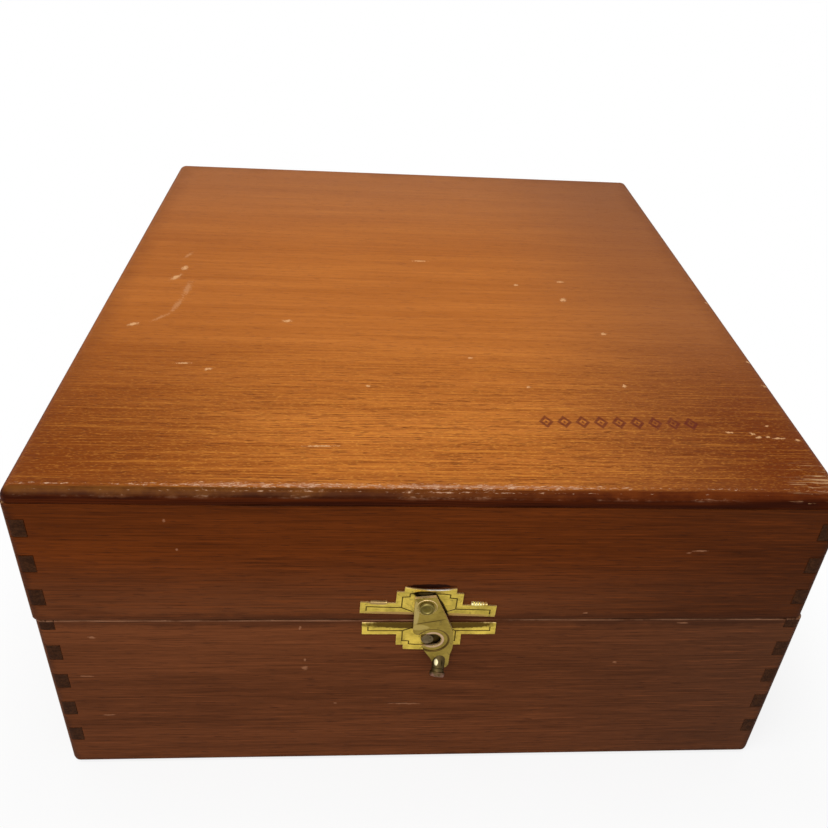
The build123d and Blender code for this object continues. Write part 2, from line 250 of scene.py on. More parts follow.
class Wire:
    """A socket of a material's nodes. A sum written on it adds the Math nodes that work it out."""

    def __init__(self, tree, socket=None):
        self.tree = tree
        self.socket = socket

    def node(self, kind, settings=None, sockets=None, out=0):
        """Adds a node with its settings, feeds its sockets and gives one of its outputs."""
        made = self.tree.nodes.new("ShaderNode" + kind)
        for name, value in (settings or {}).items():
            setattr(made, name, value)
        for name, value in (sockets or {}).items():
            if isinstance(value, Wire):
                self.tree.links.new(value.socket, made.inputs[name])
            else:
                made.inputs[name].default_value = value
        return Wire(self.tree, made.outputs[out])

    def math(self, operation, first, second=0.0):
        return self.node("Math", {"operation": operation}, {0: first, 1: second})

    def __add__(self, other):
        return self.math("ADD", self, other)

    def __sub__(self, other):
        return self.math("SUBTRACT", self, other)

    def __rsub__(self, other):
        return self.math("SUBTRACT", other, self)

    def __mul__(self, other):
        return self.math("MULTIPLY", self, other)

    def __truediv__(self, other):
        return self.math("DIVIDE", self, other)

    __radd__ = __add__
    __rmul__ = __mul__

    def __abs__(self):
        return self.math("ABSOLUTE", self)

    def fraction(self):
        return self.math("FRACT", self)

    def least(self, other):
        return self.math("MINIMUM", self, other)

    def most(self, other):
        return self.math("MAXIMUM", self, other)

    def ramp(self, start, end):
        """Goes smoothly from 0 at start to 1 at end, which may be the lower of the two."""
        return self.node("MapRange", {"interpolation_type": "SMOOTHSTEP"}, {0: self, 1: start, 2: end})

    def between(self, first, second):
        """A colour from first, where this wire is 0, to second, where it is 1."""
        colours = {0: self}
        for socket, colour in ((6, first), (7, second)):
            colours[socket] = colour if isinstance(colour, Wire) else (*colour, 1.0)
        return self.node("Mix", {"data_type": "RGBA"}, colours, 2)

    def axis(self, name):
        return self.node("SeparateXYZ", sockets={0: self}, out="XYZ".index(name))

    def noise(self, sizes, detail=2.0, roughness=0.5, distortion=0.0, offset=(0, 0, 0)):
        """Noise whose blots have these sizes along X, Y and Z, in metres."""
        sizes = sizes if hasattr(sizes, "__len__") else (sizes,) * 3
        scale = [1 / size for size in sizes]
        spread = self.node("Mapping", sockets={"Vector": self, "Scale": scale, "Location": offset})
        values = {"Vector": spread, "Scale": 1.0, "Detail": detail, "Roughness": roughness}
        return self.node("TexNoise", {"noise_dimensions": "3D"}, {**values, "Distortion": distortion})

    def grain(self, along, length, width, detail, roughness, distortion=0.0, offset=(0, 0, 0)):
        """Noise in marks that are this long along one axis and this wide across it, in millimetres."""
        sizes = [(length if axis == along else width) * mm for axis in "XYZ"]
        return self.noise(sizes, detail, roughness, distortion, offset)

    def nearest_spot(self, spots):
        """How far a place lies from the nearest of some flat oval spots, where 1 is a spot's edge."""
        nearest = None
        for middle, radii, turn in spots:
            sockets = {"Vector": self, "Location": middle, "Rotation": turn, "Scale": radii}
            spot = self.node("Mapping", {"vector_type": "TEXTURE"}, sockets)
            reach = self.node("VectorMath", {"operation": "LENGTH"}, {0: spot}, 1)
            nearest = reach if nearest is None else nearest.least(reach)
        return nearest


def new_finish(name):
    """A material, its Principled shader and the wires of its Object coordinates and surface direction."""
    finish = bpy.data.materials.new(name)
    finish.use_nodes = True
    shader = finish.node_tree.nodes["Principled BSDF"]
    start = Wire(finish.node_tree)
    return finish, shader, start.node("TexCoord", out=3), start.node("TexCoord", out=1)


def feed(shader, **wires):
    """Feeds the sockets of a shader, written with _ for a space, from wires or plain values."""
    for name, value in wires.items():
        socket = shader.inputs[name.replace("_", " ")]
        if isinstance(value, Wire):
            value.tree.links.new(value.socket, socket)
        else:
            socket.default_value = value


def layered(colour, layers):
    """A colour with tints laid over it in turn, each as strongly as its wire says."""
    for share, tint in layers:
        colour = share.between(colour, tint)
    return colour


def times(factor, colour):
    return [factor * part for part in colour]


def raise_up(height, depth, strength=1.0):
    """The surface direction of a relief whose height wire goes from 0 to 1 over a depth in metres."""
    return height.node("Bump", sockets={"Height": height, "Distance": depth, "Strength": strength})


def dress(piece, finish, body, node):
    """Gives a piece its finish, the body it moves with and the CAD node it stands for."""
    piece.data.materials.append(finish)
    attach(piece, body)
    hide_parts(node)


def edge_reach(place, shift, edges):
    """How far a place on the outside of a case is from its nearest edge, with the heights of its edges."""
    x = half_width - abs(place.axis("X") - shift)
    y = half_depth - abs(place.axis("Y"))
    corner = x.most(y)
    for edge in edges:
        corner = corner.least(abs(place.axis("Z") - edge))
    return x.least(y).most(corner)


def front_spots(nicks):
    """Flat ovals on the front, from places along X and up Z, lengths, heights and turns in degrees."""
    return [((x * mm, -half_depth, z * mm), (length * mm, 0.6 * mm, height * mm), (0, math.radians(turn), 0))
            for x, z, length, height, turn in nicks]


raw_dark, raw_wood = (0.30, 0.145, 0.065), (0.42, 0.22, 0.10)
wear_pale, nick_pale = (0.44, 0.22, 0.12), (0.40, 0.18, 0.09)
end_grain_dark, end_grain_light = (0.026, 0.009, 0.0035), (0.066, 0.024, 0.009)
# The last of these is the near-black of painted shadows
pore_dark, grime_dark, painted_shadow_dark = (0.020, 0.006, 0.003), (0.030, 0.010, 0.005), (0.012, 0.003, 0.002)
low_stain = (0.090, 0.0255, 0.0075), (0.180, 0.0525, 0.0165)


def stained_finish(name, along, shift, edges, colours, rim_wear, spots=(), stains=()):
    """Stained boards with their grain along X or Y, dark end grain, worn edges and raw wood inside.

    shift is how far the case sits off the middle, and edges are the heights of its worn edges. colours are its
    dark, light and right-hand tints, the last a painted shade over the right half. rim_wear is how pale the rim's
    outer edge has worn. spots are nicks and stains are painted shadows, both as flat ovals."""
    finish, shader, place, facing = new_finish(name)
    bands = place.grain(along, 160, 14, 3, 0.55, 0.6)
    streaks = place.grain(along, 45, 1.5, 4, 0.6, 0.4)
    lines = place.grain(along, 24, 0.55, 3, 0.65, offset=(4.1, 2.2, 8.3))
    fibres = place.grain(along, 9, 0.35, 2, 0.6)
    pores = place.grain(along, 5.2, 0.24, 1, 0.5, offset=(3.7, 1.9, 5.1)).ramp(0.62, 0.70)
    patches = place.noise(9 * mm, 4, 0.7)
    grit = place.grain(along, 1.6, 0.5, 3, 0.7)
    dark, light, right = colours
    tone = (bands * 1.4 + streaks * 0.6 - 0.50).ramp(0.1, 1.0)
    lowness = (place.axis("Z") + bands * 8 * mm).ramp(rim + 30 * mm, rim + 8 * mm)
    across = place.axis("X").ramp(0.1 * half_width, half_width)
    colour = layered(tone.between(dark, light), [
        (lowness, tone.between(*low_stain)),
        # Painted shade: the right half darkened by the right-hand tint
        (across * 0.6, right),
        (fibres.ramp(0.45, 0.75) * 0.20, times(1.5, light)),
        (lines.ramp(0.50, 0.32) * 0.42, times(0.35, dark)),
        (lines.ramp(0.54, 0.70) * 0.30, times(1.6, light)),
        (pores * 0.5, pore_dark),
    ])

    rings = place.noise((2.2 * mm, 2.2 * mm, 1.1 * mm), 3, 0.6)
    specks = place.noise(0.45 * mm, 2, 0.6)
    ends = abs(facing.axis(along)).ramp(0.85, 0.97)
    end_tone = (rings * 0.6 + specks * 0.6 - 0.1).ramp(0.3, 0.75)

    depth = (half_width - abs(place.axis("X") - shift)).least(half_depth - abs(place.axis("Y")))
    if edges[0] < near:
        depth = depth.least(place.axis("Z"))
    raw = (depth + fibres * 0.5 * mm).ramp(0.7 * mm, 1.1 * mm)

    reach = edge_reach(place, shift, edges)
    worn = (reach - patches * 1.3 * mm - grit * 0.5 * mm + 0.80 * mm).ramp(0.0, -0.22 * mm)
    grime = (reach - patches * 5 * mm).ramp(0.5 * mm, -1.5 * mm)
    from_rim = abs(abs(place.axis("Z") - rim) - 0.30 * mm) + patches * 0.35 * mm
    fading = rim_wear * (lines + patches).ramp(0.75, 1.25)
    colour = layered(colour, [
        (ends, end_tone.between(end_grain_dark, end_grain_light)),
        (raw, streaks.ramp(0.3, 0.7).between(raw_dark, raw_wood)),
        (grime * 0.4, grime_dark),
        (worn * 0.7, wear_pale),
        (from_rim.ramp(0.48 * mm, 0.18 * mm) * fading, wear_pale),
    ])
    if spots:
        chipped = (place.nearest_spot(spots) + grit * 2.2 - 1.1).ramp(0.9, 0.4)
        colour = (chipped * 0.55).between(colour, nick_pale)
    # Painted shadow: near-black ovals drawn where shade falls
    if stains:
        painted_shadow_mask = (place.nearest_spot(stains) + grit * 0.8 - 0.4).ramp(1.0, 0.7)
        colour = (painted_shadow_mask * 0.95).between(colour, painted_shadow_dark)

    relief = streaks * 0.5 + fibres * 0.35 - pores * 0.6
    gloss = 0.42 + patches * 0.12 + streaks * 0.08 + worn.most(raw) * 0.25
    feed(shader, Base_Color=colour, Roughness=gloss, Normal=raise_up(relief, 0.05 * mm, 0.7),
         Specular_IOR_Level=0.015, Coat_Weight=0.02 - raw * 0.02, Coat_Roughness=0.22)
    return finish


def build_case(kind, low_z, high_z, shift, spans, edges, colours, rim_wear, nicks, stains=()):
    """The four boards of the base or lid between two heights, with nicks and painted shadows on the front."""
    looks = shift, edges, colours, rim_wear
    finishes = [stained_finish(f"stained_wood_{kind}_x", "X", *looks, front_spots(nicks), stains),
                stained_finish(f"stained_wood_{kind}_y", "Y", *looks)]
    for side in sides_of_box:
        piece = frame_board(f"{kind}_{side}_wood", side, low_z, high_z, shift, spans)
        dress(piece, finishes[side in ("left", "right")], kind, f"{kind}_{side}_board")


# Nicks in the front of the base, as front_spots takes them
base_nicks = [
    (-33.6, 41.2, 1.2, 1.0, 20), (-33.5, 44.5, 0.4, 0.8, 0), (-25.5, 26.1, 0.6, 0.4, 0),
    (-6.0, 25.6, 6.5, 0.35, 2), (52.0, 42.8, 0.8, 0.6, 0), (-34.5, 57.0, 0.4, 0.9, 10),
    (68.0, 58.6, 2.2, 0.35, 0), (-92.0, 38.5, 3.0, 0.3, 0), (-88.0, 22.0, 2.4, 0.3, 0),
    (-88.0, 53.7, 1.3, 0.6, 0),
]
base_fingers = finger_spans(0, rim)
# The third colour is a painted shade over the right half
base_colours = (*low_stain, (0.078, 0.029, 0.013))
base_rim_wear = 0.55
build_case("base", 0, rim, 0, base_fingers, (0, rim), base_colours, base_rim_wear, base_nicks)

# Boards of the lid
# The lid is the upper part of the same glued case, sawn off and eased along the cut. Its worn hinges let it
# sit a little to the left of the base.
lid_nicks = [
    (66.4, 84.9, 2.6, 0.35, 0), (63.6, 84.2, 0.9, 0.35, 0), (40.4, 62.4, 0.8, 0.4, 0),
    (-65.2, 93.9, 0.5, 0.7, 0), (-63.2, 84.7, 0.4, 0.5, 0),
]
# Painted shadow over the crown of the latch's plate, where the crown stands off the wood, by its middle, radii and
# turn
latch_crown_shadow = [((-1.0 * mm, -half_depth, rim + 12.4 * mm), (6.8 * mm, 1 * mm, 0.8 * mm), (0, 0, 0))]
lid_fingers = finger_spans(rim + saw_kerf, lid_high.z + saw_kerf, drop=saw_kerf)
# The third colour is a painted shade over the right half
lid_colours = (0.079, 0.0162, 0.0019), (0.160, 0.034, 0.0042), (0.044, 0.0120, 0.0034)
lid_rim_wear = 0.1
build_case("lid", rim, lid_high.z, lid_shift, lid_fingers, (rim,), lid_colours, lid_rim_wear,
           lid_nicks, latch_crown_shadow)

# Top panel
# A thin board laid on the lid's frame and glued, its upper edge rounded and its lower one eased. Years of
# handling have worn the front edge down to pale wood and chipped the right front corner.
panel_low, panel_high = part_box("lid_top_panel")
panel_round = 3.0 * mm
panel_corner = 3.1 * mm
panel_under = 0.25 * mm
chip_reach, chip_depth = 15 * mm, 0.3 * mm
wear_in, wear_down = 0.16 * mm, 0.20 * mm
margin = panel_corner + 0.4 * mm
fine_slice, side_slice, back_slice = 0.9 * mm, 3 * mm, 6 * mm
top_panel = new_block("lid_top_wood", panel_low, panel_high)


def around(height):
    """A test for the edges of the panel's outline at one height."""
    return lambda corners: all(abs(c.z - height) < near for c in corners)


round_edges(top_panel, panel_corner, 6, lambda corners: abs(corners[0].z - corners[1].z) > panel_under)
round_edges(top_panel, panel_round, 7, around(panel_high.z))
round_edges(top_panel, panel_under, 3, around(panel_low.z))
chip_x, chip_y = panel_high.x - chip_reach, panel_low.y + chip_reach
slice_across(top_panel, 0, steps_between(panel_low.x + margin, chip_x, side_slice))
slice_across(top_panel, 0, steps_between(chip_x, panel_high.x - margin, fine_slice))
slice_across(top_panel, 1, steps_between(panel_low.y + panel_round + 0.4 * mm, chip_y, fine_slice))
slice_across(top_panel, 1, steps_between(chip_y, panel_high.y - margin, back_slice))
for vertex in top_panel.data.vertices:
    place = vertex.co.copy()
    front = max(0.0, 1 - (place.y - panel_low.y) / (1.6 * panel_round))
    worn = 0.5 + noise.noise(place / (11 * mm)) + 0.5 * noise.noise(place / (3.5 * mm))
    if place.z > panel_low.z + panel_under:
        vertex.co.y += wear_in * front * max(0.0, worn)
        vertex.co.z -= wear_down * front * max(0.0, worn)
    from_corner = Vector((panel_high.x - 3 * mm - place.x, place.y - panel_low.y - 3 * mm)).length
    ragged = noise.noise(Vector((place.x / (9 * mm), place.y / (2 * mm), 3.1)))
    chip = 1 - from_corner / chip_reach + 0.7 * ragged
    if place.z > panel_high.z - panel_round and chip > 0.45:
        vertex.co.z -= chip_depth * min(1.0, (chip - 0.45) * 5)
smooth(top_panel, 50)

# Nicks in the top: their places along X and Y, their lengths and widths, and how they lie in degrees
top_nicks = [
    (-81.0, 6.3, 2.4, 1.3, 80), (-82.6, -0.9, 3.0, 1.5, 60), (-89.3, -34.2, 2.2, 1.3, 30),
    (-70.4, -56.3, 3.6, 0.5, 4), (-62.9, -59.2, 1.6, 0.9, 20), (-43.2, -29.8, 1.8, 1.1, 0),
    (-17.8, -66.5, 0.8, 0.7, 0), (0.6, 18.0, 3.4, 0.7, 3), (33.4, 0.5, 1.2, 0.9, 0),
    (49.7, 3.9, 1.7, 1.1, 25), (48.1, -10.1, 1.9, 1.3, 70), (57.1, -33.3, 1.3, 1.1, 40),
    (12.5, -50.0, 1.0, 0.5, 0), (27.6, -65.5, 0.8, 0.8, 0), (-29.7, -94.8, 5.5, 0.5, 2), (56.0, -64.0, 0.8, 1.2, 0),
    (79.3, -86.3, 1.6, 0.5, 0), (85.6, -86.8, 0.9, 0.9, 60), (86.8, -88.4, 1.3, 0.6, 20),
    (89.4, -88.1, 0.9, 0.5, 0), (92.2, -88.7, 2.4, 0.5, 0), (91.0, -83.0, 0.9, 0.5, 0),
    (97.1, -89.4, 0.9, 0.6, 0), (99.0, -48.8, 1.3, 0.8, 0), (98.8, -62.5, 1.5, 0.9, 0),
    (99.2, -9.2, 1.2, 0.9, 0),
]
# A curved scuff at the left in three stretches and a short one behind it, given as the nicks are
top_scuffs = [
    (-77.4, -9.5, 7.0, 1.5, 88), (-78.6, -21.0, 7.0, 1.2, 80), (-82.0, -29.5, 4.5, 0.9, 50),
    (-81.6, 17.0, 4.0, 1.0, 70),
]
finish, shader, place, facing = new_finish("top_wood")
x, y, z = (place.axis(name) for name in "XYZ")
bands = place.grain("X", 150, 13, 3, 0.55, 0.7)
streaks = place.grain("X", 60, 1.3, 4, 0.6, 0.5)
fibres = place.grain("X", 7, 0.34, 2, 0.6)
pores = place.grain("X", 3.4, 0.26, 1, 0.5, offset=(1.7, 4.9, 2.1)).ramp(0.60, 0.68)
flecks_and_sparkle = place.grain("X", 1.1, 0.30, 1, 0.5, offset=(9.2, 0.4, 6.3)).ramp(0.56, 0.68)
lines = place.grain("X", 26, 0.45, 3, 0.65)
patches = place.noise(12 * mm, 4, 0.7)
grit = place.grain("X", 2.0, 0.5, 3, 0.7)
specks = place.grain("X", 1.5, 0.34, 4, 0.75, offset=(5.5, 1.2, 0.7))
splinters = place.grain("X", 14, 0.42, 3, 0.65, 0.3)
ragged = place.noise(0.7 * mm, 3, 0.8)

# The stain, with painted light over it: a paler, duller painted sheen toward the back, painted shade toward the
# right and at the sides of the front, which leaves a painted pool of light at the front middle, and painted shade
# near the edges. Grain lines and flecks are drawn clearer in that pool, partly as painted sparkle.
backness = y.ramp(10 * mm, 110 * mm)
frontness = y.ramp(-20 * mm, -95 * mm)
rightness = x.ramp(-60 * mm, 50 * mm)
sideways = abs(x - lid_shift).ramp(20 * mm, 95 * mm)
fine = (frontness * 0.88 + 0.12) * (1 - sideways * 0.45)
tone = (bands * 0.9 + streaks * 0.75 - 0.375).ramp(0.1, 1.0)
reach = (half_width - abs(x - lid_shift)).least(half_depth - abs(y))
colour = layered(tone.between((0.41, 0.118, 0.017), (0.61, 0.200, 0.036)), [
    # Painted sheen toward the back
    (backness * 0.6, (0.35, 0.130, 0.048)),
    # Painted shade toward the right
    (x.ramp(15 * mm, 95 * mm) * 0.55, (0.24, 0.090, 0.036)),
    # Painted shade at the sides, most at the front, leaving a painted pool of light in the middle
    (sideways * (frontness * (rightness * 0.13 + 0.73) + 0.12), (0.15, 0.026, 0.001)),
    # Grain lines and flecks drawn clearer in the pool of light, partly as painted sparkle
    (lines.ramp(0.50, 0.34) * fine * 0.65, (0.16, 0.034, 0.003)),
    (lines.ramp(0.52, 0.68) * fine * 0.5, (0.74, 0.28, 0.040)),
    (flecks_and_sparkle * fine * 0.40, (0.76, 0.31, 0.050)),
    (pores * (0.3 + frontness * 0.4), (0.12, 0.025, 0.004)),
    # Painted shade near the edges
    ((reach - patches * 12 * mm).ramp(4 * mm, -7 * mm) * 0.45, (0.16, 0.042, 0.010)),
])

# The front edge: its bend stained dark and its underside darker still, partly a darker stain and partly painted
# shade under the rounding, and the lines along which it has rubbed pale
from_front = y + half_depth
bend = (from_front - patches * 0.8 * mm).ramp(2.9 * mm, 2.1 * mm)
darker = rightness.between((0.065, 0.017, 0.003), (0.065, 0.009, 0.0015))
lighter = rightness.between((0.145, 0.048, 0.008), (0.120, 0.023, 0.003))
under = (z + patches * 1.6 * mm).ramp(panel_high.z + 0.6 * mm, panel_high.z - 0.9 * mm)
kept = abs(x + 14 * mm).ramp(36 * mm, 68 * mm) * 0.55


def rubbed_line(middle, spread, least, spared):
    """How worn a place is near a line that lies this far behind the front, in millimetres."""
    away = abs(from_front - middle * mm) / (spread * mm)
    return (specks * 2.8 + patches * 0.9 - away - least - spared).ramp(0.0, 0.25)


rubbed = rubbed_line(3.7, 1.6, 1.42, kept)
ridge = rubbed_line(1.9, 0.9, 1.85, kept * 0.5)
sides = (reach - patches * 2.6 * mm - specks * 1.6 * mm + 1.35 * mm).ramp(0.1 * mm, -0.4 * mm) * (1 - under)
worn = (rubbed * 0.8).most(sides * 0.45).most(ridge * 0.6)
colour = layered(colour, [
    (bend * 0.93, (streaks * 0.6 + patches).ramp(0.60, 0.95).between(darker, lighter)),
    # Darker stain and painted shade under the rounded edge
    (under, streaks.ramp(0.35, 0.65).between((0.026, 0.004, 0.0008), (0.070, 0.012, 0.0015))),
    (worn, specks.ramp(0.50, 0.66).between((0.40, 0.17, 0.09), (0.80, 0.52, 0.33))),
])


def top_marks(marks):
    """How strongly a place on the top is marked by some flat ragged ovals."""
    spots = []
    for spot_x, spot_y, length, width, turn in marks:
        middle = (spot_x * mm, spot_y * mm, panel_high.z)
        spots.append((middle, (length * mm, width * mm, 0.6 * mm), (0, 0, math.radians(turn))))
    return (place.nearest_spot(spots) + ragged * 2.8 - 1.4).ramp(0.9, 0.3)


# The chipped corner, the nicks, the scuffs and a row of small lozenges in place of the stamp
corner_place = (panel_high.x - 2 * mm, panel_low.y + 7 * mm, panel_high.z)
corner = place.nearest_spot([(corner_place, (17 * mm, 10 * mm, 5 * mm), (0, 0, 0))])
chipped = (corner * 0.9 + splinters * 4.4 - 2.22).ramp(0.10, -0.30)
nicked = top_marks(top_nicks)
stamp_x, stamp_y = 50 * mm, -82.5 * mm
stamp_half, stamp_pitch = 22.5 * mm, 5.0 * mm
lozenge_width, lozenge_height = 2.1 * mm, 3.0 * mm
cell = abs(((x - stamp_x + stamp_half) / stamp_pitch).fraction() - 0.5) * stamp_pitch
lozenge = cell / lozenge_width + abs(y - stamp_y) / lozenge_height
inked = lozenge.ramp(1.1, 0.85) * abs(lozenge - 0.34).ramp(0.10, 0.20)
inked = inked * abs(x - stamp_x).ramp(stamp_half + 0.1 * mm, stamp_half - 0.1 * mm)
inked = inked * (grit + patches).ramp(0.65, 0.9)
inked = inked * z.ramp(panel_high.z - 0.6 * mm, panel_high.z - 0.3 * mm)
inside = facing.axis("Z").ramp(-0.6, -0.95)
colour = layered(colour, [
    (chipped * 0.7, (0.62, 0.36, 0.17)),
    (nicked * 0.7, (0.82, 0.46, 0.21)),
    (top_marks(top_scuffs) * 0.28, (0.74, 0.41, 0.20)),
    (inked * 0.7, (0.11, 0.014, 0.010)),
    (inside, streaks.ramp(0.3, 0.7).between(raw_dark, raw_wood)),
])
relief = streaks * 0.5 + fibres * 0.4 - pores * 0.6 - nicked * 0.8 - chipped * 0.6 - inked * 0.4
bare = chipped.most(worn).most(inside)
gloss = 0.38 + patches * 0.12 + streaks * 0.08 + bare * 0.2
feed(shader, Base_Color=colour, Roughness=gloss, Normal=raise_up(relief, 0.06 * mm, 0.7),
     Specular_IOR_Level=0.02, Coat_Weight=0.02 - bare * 0.02, Coat_Roughness=0.2)
dress(top_panel, finish, "lid", "lid_top_panel")

# Bottom panel
# A thin board let into a rebate of the base and nailed from below. It is stained thinly underneath, and left
# raw inside.
bottom_low, bottom_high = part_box("base_bottom_panel")
panel_gap = Vector((joint_gap, joint_gap, 0))
bottom_panel = new_block("base_bottom_wood", bottom_low + panel_gap, bottom_high - panel_gap)
round_edges(bottom_panel, 0.3 * mm, 2, lambda corners: True)
slice_across(bottom_panel, 0, steps_between(bottom_low.x, bottom_high.x, 12 * mm))
smooth(bottom_panel)
finish, shader, place, facing = new_finish("bottom_wood")
bands = place.grain("Y", 150, 12, 3, 0.55, 0.6)
streaks = place.grain("Y", 50, 1.4, 4, 0.6, 0.4)
pores = place.grain("Y", 4, 0.28, 1, 0.5).ramp(0.62, 0.70)
tone = (bands * 1.2 + streaks * 0.8 - 0.5).ramp(0.1, 1.0)
inner = tone.between((0.29, 0.145, 0.065), (0.44, 0.235, 0.110))
outer = tone.between((0.105, 0.034, 0.014), (0.190, 0.066, 0.026))
colour = place.axis("Z").ramp(1.0 * mm, 1.4 * mm).between(outer, inner)
colour = (pores * 0.5).between(colour, (0.05, 0.02, 0.01))
relief = raise_up(streaks - pores * 0.6, 0.05 * mm)
feed(shader, Base_Color=colour, Roughness=0.55 + streaks * 0.15, Normal=relief)
dress(bottom_panel, finish, "base", "base_bottom_panel")

# Liner
# Four strips of thin cedar, cut to stand above the rim as a lip that the lid closes over. They are pushed in
# dry, unfinished, with their upper edges rounded by hand.
relief_depth = 1.2 * mm
hand_cut = 0.25 * mm
lip_round = 0.5 * mm
side_strips = half_width - board - 3.2 * mm
finish, shader, place, facing = new_finish("cedar_liner")
x, y, z = (place.axis(name) for name in "XYZ")
on_side = (abs(x) - side_strips).ramp(-0.1 * mm, 0.1 * mm)
run = on_side.between(x, y).axis("X")
flat = place.node("CombineXYZ", sockets={0: run, 1: z})
bands = flat.noise((170 * mm, 9 * mm, 1), 3, 0.55, 0.8)
streaks = flat.noise((50 * mm, 0.9 * mm, 1), 4, 0.6, 0.5)
pores = flat.noise((2.6 * mm, 0.22 * mm, 1), 1, 0.5).ramp(0.63, 0.72)
rubbed = (z + streaks * 1.5 * mm).ramp(rim + 7.5 * mm, rim + 8.6 * mm)
tone = (bands * 1.2 + streaks * 0.9 - 0.55).ramp(0.1, 1.0)
colour = layered(tone.between((0.36, 0.165, 0.080), (0.58, 0.330, 0.185)), [
    (pores * 0.45, (0.16, 0.07, 0.035)),
    (rubbed * 0.5, (0.30, 0.15, 0.08)),
])
relief = raise_up(streaks - pores * 0.7, 0.05 * mm)
feed(shader, Base_Color=colour, Roughness=0.62 + streaks * 0.15, Normal=relief)
for side in sides_of_box:
    low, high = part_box(f"liner_{side}")
    across = 1 if side in ("front", "back") else 0
    long_way = 1 - across
    sign = -1 if side in ("front", "left") else 1
    outer = low[across] if sign < 0 else high[across]
    strip = new_block(f"liner_{side}_cedar", low, high)
    slice_across(strip, 2, [rim - 2 * mm, rim])
    slice_across(strip, long_way, steps_between(low[long_way], high[long_way], 6 * mm))
    for vertex in strip.data.vertices:
        if vertex.co.z > rim - near and abs(vertex.co[across] - outer) < near:
            vertex.co[across] -= sign * relief_depth
        if vertex.co.z > rim + near:
            vertex.co.z -= hand_cut * max(0.0, 0.4 + noise.noise(vertex.co / (22 * mm)))
    round_edges(strip, lip_round, 3, lambda corners: all(c.z > high.z - mm for c in corners)
                and abs(corners[0][long_way] - corners[1][long_way]) > near)
    smooth(strip)
    dress(strip, finish, "base", f"liner_{side}")

# Latch plates
# Two alike stamped brass plates with stepped tops, one upright on the lid and one upside down on the base.
# An engraved line follows the steps, and two prongs of each are bent over into the wood.
sheet = 0.6 * mm
arm_span, arm_height = 35.4 * mm, 4.2 * mm
step_span, step_height = 17.3 * mm, 4.1 * mm
crown_span, crown_height = 13.4 * mm, 1.7 * mm
crown_bow, crown_dip = 0.45 * mm, 0.35 * mm
foot_bend = 0.22 * mm
line_width, line_depth = 0.34 * mm, 0.14 * mm
edge_band = 1.1 * mm
prong_width, prong_place, prong_reach, prong_round = 4.2 * mm, 13.0 * mm, 3.0 * mm, 0.25 * mm
tooth_depth, tooth_half = 0.45 * mm, 0.15 * mm
latch_x = -1.4 * mm
lid_plate_rise, lid_plate_tilt = 2.2 * mm, math.radians(-2.4)
base_plate_offset, base_plate_drop, base_plate_tilt = 0.7 * mm, 0.7 * mm, math.radians(-0.2)
pivot = Vector((-1.9 * mm, rim + 6.8 * mm))
boss_foot, boss_top, boss_rise = 4.4 * mm, 3.2 * mm, 0.6 * mm


def on_front(x, z, off=0.0, tilt=0.0):
    """The place on the front of the box where a piece is set that was made lying flat, its face up."""
    place = Matrix.Translation((x, -half_depth - off, z))
    return place @ Matrix.Rotation(math.pi / 2, 4, "X") @ Matrix.Rotation(tilt, 4, "Z")


def set_at(piece, place):
    """Moves a piece that was made at the origin to its place, and puts that place into its mesh."""
    piece.matrix_world = place
    make_active(piece)
    bpy.ops.object.transform_apply(location=True, rotation=True, scale=True)


def extrude_up(piece, height, test):
    pick(piece, test)
    bpy.ops.mesh.extrude_region_move(TRANSFORM_OT_translate={"value": (0, height, 0)})
    bpy.ops.object.mode_set(mode="OBJECT")


def engrave(piece, lines):
    """Cuts narrow square lines into the face of a flat piece, one straight stretch after the other."""
    for line in lines:
        for start, end in zip(line, line[1:]):
            run = Vector(end) - Vector(start)
            middle = (Vector(end) + Vector(start)) / 2
            low = (-run.length / 2 - line_width / 2, -line_width / 2, sheet - line_depth)
            cutter = new_block("line", low, (-low[0], -low[1], 2 * sheet))
            turn = Matrix.Rotation(math.atan2(run.y, run.x), 4, "Z")
            cutter.data.transform(Matrix.Translation((middle.x, middle.y, 0)) @ turn)
            cut_away(piece, [cutter])


def mark_lines(piece):
    """Marks the faces of the engraved lines, so that the finish can darken them."""
    marks = piece.data.attributes.new("engraved", "FLOAT", "FACE")
    for face, mark in zip(piece.data.polygons, marks.data):
        deep = sheet - line_depth - near < face.center.z < sheet - line_depth / 4
        mark.value = float(deep and edge_band < face.center.y < arm_height + step_height + crown_height / 3
                           and abs(face.center.x) < arm_span / 2 - mm)


